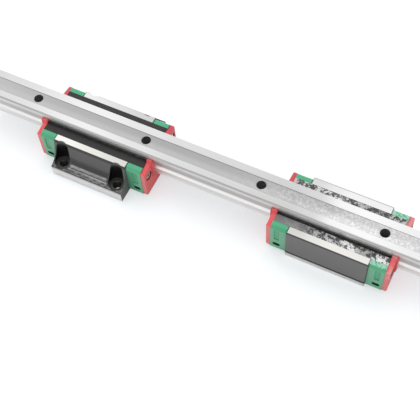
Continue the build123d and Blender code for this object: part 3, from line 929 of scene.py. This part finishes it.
dry_strip = dry_strip_finish(carriages["flanged"])
for side in ("near", "far"):
    rounded(f"flanged_{side}_bottom_seal", dry_strip, 0.08)
    oiled_strip = oiled_strip_finish(side, carriages["square"])
    rounded(f"square_{side}_bottom_seal", oiled_strip, 0.08)

# ======== Screws and grease plugs ========
# Cross-recessed steel screws hold seal and cap to the block, bright on the flanged carriage and
# dark on the square one; a set screw with a hexagon socket closes the grease port that faces
# the other carriage.
screw_seat = plate_reach - 1.2
head_radius = 2.2
head_heights = {"flanged": 0.9, "square": 1.5}  # those of the flanged carriage sit deeper
head_edge = 0.5
shank_radius = 1.25
shank_tip = block_reach - 5.0
shank_chamfer = 0.4
recess_reach = 1.45
recess_half_width = 0.30
recess_depth = 0.8
recess_slope = 0.10
recess_fall = 2.2  # an arm keeps its full depth up to 1 - 1 / 2.2 of its reach
flat_rings = 26
edge_rings = 6
screw_sides = 96


def screw_surface(middle, end, head_height):
    """Both screws of one end: a profile turned round an axis along X.

    The profile runs from the middle of the head over its rounded edge and down the shank. The
    cross sinks the head by the recess depth in its middle. Towards the end of an arm that
    depth falls evenly to nothing, and at the sides of the arm it falls quickly.
    """
    top = screw_seat + head_height
    flat = np.linspace(0.0, head_radius - head_edge, flat_rings)
    edge_turn = np.linspace(0.0, pi / 2, edge_rings + 1)[1:]
    edge_r = head_radius - head_edge + head_edge * np.sin(edge_turn)
    edge_x = top - head_edge + head_edge * np.cos(edge_turn)
    below_r = [head_radius, shank_radius, shank_radius, shank_radius - shank_chamfer, 0.0]
    below_x = [screw_seat, screw_seat, shank_tip + shank_chamfer, shank_tip, shank_tip]
    radii = np.concatenate((flat, edge_r, below_r))
    heights = np.concatenate((np.full(flat.size, top), edge_x, below_x))
    angles = np.linspace(0.0, 2 * pi, screw_sides + 1)[:-1]
    r, turn = np.meshgrid(radii, angles, indexing="ij")
    x = np.repeat(heights[:, None], angles.size, axis=1)
    side_a, side_b = np.abs(r * np.cos(turn)), np.abs(r * np.sin(turn))
    off_arm = np.minimum(side_a, side_b)
    arm = np.clip((recess_half_width + recess_slope - off_arm) / recess_slope, 0.0, 1.0)
    fall = np.clip(1.0 - np.maximum(side_a, side_b) / recess_reach, 0.0, 1.0)
    on_head = (np.arange(radii.size) < flat.size)[:, None]
    x = x - on_head * arm * recess_depth * np.minimum(1.0, recess_fall * fall)
    rows, columns = r.shape
    rings = []
    for side in (-1, 1):
        across = side * screw_half_span + r * np.cos(turn)
        up = screw_z + r * np.sin(turn)
        ring = np.stack((middle + end * x, across, up), axis=-1)
        rings.append(ring.reshape(-1, 3))
    points = np.concatenate(rings) * MM
    row, column = np.meshgrid(np.arange(rows - 1), np.arange(columns), indexing="ij")
    follow = (column + 1) % columns
    a, b = row * columns + column, row * columns + follow
    faces = np.stack((a, a + columns, b + columns, b), axis=-1).reshape(-1, 4)
    return points, np.concatenate((faces, faces + rows * columns))


def surface_piece(name, points, faces, material, sharpest=35):
    """A shell from points and faces, with its poles closed and its faces turned outwards."""
    mesh = bpy.data.meshes.new(name)
    mesh.from_pydata(points.tolist(), [], faces.tolist())
    shape = bmesh.new()
    shape.from_mesh(mesh)
    bmesh.ops.remove_doubles(shape, verts=shape.verts, dist=merge_distance * MM)
    bmesh.ops.recalc_face_normals(shape, faces=shape.faces)
    shape.to_mesh(mesh)
    shape.free()
    smooth(mesh, sharpest)
    mesh.materials.append(material)
    return bpy.data.objects.new(name, mesh)


def screw_finish(name, dark, light):
    """Plated steel with a trace of oil."""
    finish = Finish(name, Metallic=0.9, Coat_Weight=0.4, Coat_Roughness=0.15)
    tree = finish.tree
    skin = use_group(tree, moulded, Position=finish.position, Depth=0.004)
    colour = mix_colours(tree, skin.outputs["Grain"], dark, light)
    roughness = mix_values(tree, skin.outputs["Shade"], 0.18, 0.32)
    return finish.join(Base_Color=colour, Roughness=roughness, Normal=skin.outputs["Normal"])


screw_materials = {
    "flanged": screw_finish("bright_screw_steel", (0.34, 0.30, 0.24, 1), (0.62, 0.56, 0.46, 1)),
    "square": screw_finish("dark_screw_steel", (0.05, 0.044, 0.036, 1), (0.12, 0.105, 0.09, 1)),
}
for carriage, middle in carriages.items():
    screw_material = screw_materials[carriage]
    for end_name, end in (("left", -1), ("right", 1)):
        points, faces = screw_surface(middle, end, head_heights[carriage])
        name = f"{carriage}_{end_name}_screws"
        settle(surface_piece(f"{name}_crossed", points, faces, screw_material), name)
    rounded(f"{carriage}_grease_plug", screw_material, 0.08)

# ======== Floor, light and camera ========
# A white table under an even white sky, with one broad lamp above and behind, and a long lens
# that looks down on the guide from the near left.


def floor_finish():
    """White table top, drawn lighter for the camera so that only the shadow shows on it."""
    material = bpy.data.materials.new("white_floor")
    material.use_nodes = True
    tree = material.node_tree
    tree.nodes.remove(tree.nodes["Principled BSDF"])
    seen = add_node(tree, "LightPath").outputs["Is Camera Ray"]
    shade = mix_values(tree, seen, 0.86, 0.56)
    diffuse = add_node(tree, "BsdfDiffuse", {"Color": shade}).outputs[0]
    glow_strength = mix_values(tree, seen, 0.0, 0.535)
    cool = (0.93, 0.975, 1.0, 1)
    glow = add_node(tree, "Emission", {"Color": cool, "Strength": glow_strength}).outputs[0]
    both = add_node(tree, "AddShader", {0: diffuse, 1: glow}).outputs[0]
    tree.links.new(both, tree.nodes["Material Output"].inputs["Surface"])
    return material


floor_half = 6.0
floor_corners = [
    (-floor_half, -floor_half, 0),
    (floor_half, -floor_half, 0),
    (floor_half, floor_half, 0),
    (-floor_half, floor_half, 0),
]
floor_mesh = bpy.data.meshes.new("floor")
floor_mesh.from_pydata(floor_corners, [], [(0, 1, 2, 3)])
floor_mesh.materials.append(floor_finish())
floor = bpy.data.objects.new("floor", floor_mesh)
bpy.context.scene.collection.objects.link(floor)

world = bpy.data.worlds.new("white_sky")
bpy.context.scene.world = world
world.use_nodes = True
sky = world.node_tree
path = add_node(sky, "LightPath").outputs
seen = either(sky, *(path[f"Is {ray} Ray"] for ray in ("Camera", "Glossy", "Transmission")))
strength = mix_values(sky, seen, 0.74, 1.0)
sky.links.new(strength, sky.nodes["Background"].inputs["Strength"])
sky.nodes["Background"].inputs["Color"].default_value = (1, 1, 1, 1)

lamp_data = bpy.data.lights.new("soft_box", "AREA")
lamp_data.shape = "SQUARE"
lamp_data.size = 1.8
lamp_data.energy = 26.0
lamp = bpy.data.objects.new("soft_box", lamp_data)
lamp.location = (-0.7, 1.0, 2.4)
lamp.rotation_euler = (-lamp.location).to_track_quat("-Z", "Y").to_euler()
lamp.visible_glossy = False
bpy.context.scene.collection.objects.link(lamp)

view_azimuth = radians(30.98)
view_elevation = radians(59.785)
view_roll = radians(-5.49)
view_distance = 0.42356
view_target = Vector((0.014589, -0.021875, 0.024))
backwards = Vector(
    (
        sin(view_azimuth) * cos(view_elevation),
        -cos(view_azimuth) * cos(view_elevation),
        sin(view_elevation),
    )
)
level = backwards.cross(Vector((0, 0, -1))).normalized()
upright = backwards.cross(level)
right = level * cos(view_roll) + upright * sin(view_roll)
up = upright * cos(view_roll) - level * sin(view_roll)
camera_data = bpy.data.cameras.new("camera")
camera_data.lens = 80.44
camera_data.sensor_width = 36.0
camera = bpy.data.objects.new("camera", camera_data)
turned = Matrix((right, up, backwards)).transposed().to_4x4()
camera.matrix_world = Matrix.Translation(view_target + backwards * view_distance) @ turned
bpy.context.scene.collection.objects.link(camera)
bpy.context.scene.camera = camera
bpy.context.scene.view_settings.view_transform = "Standard"
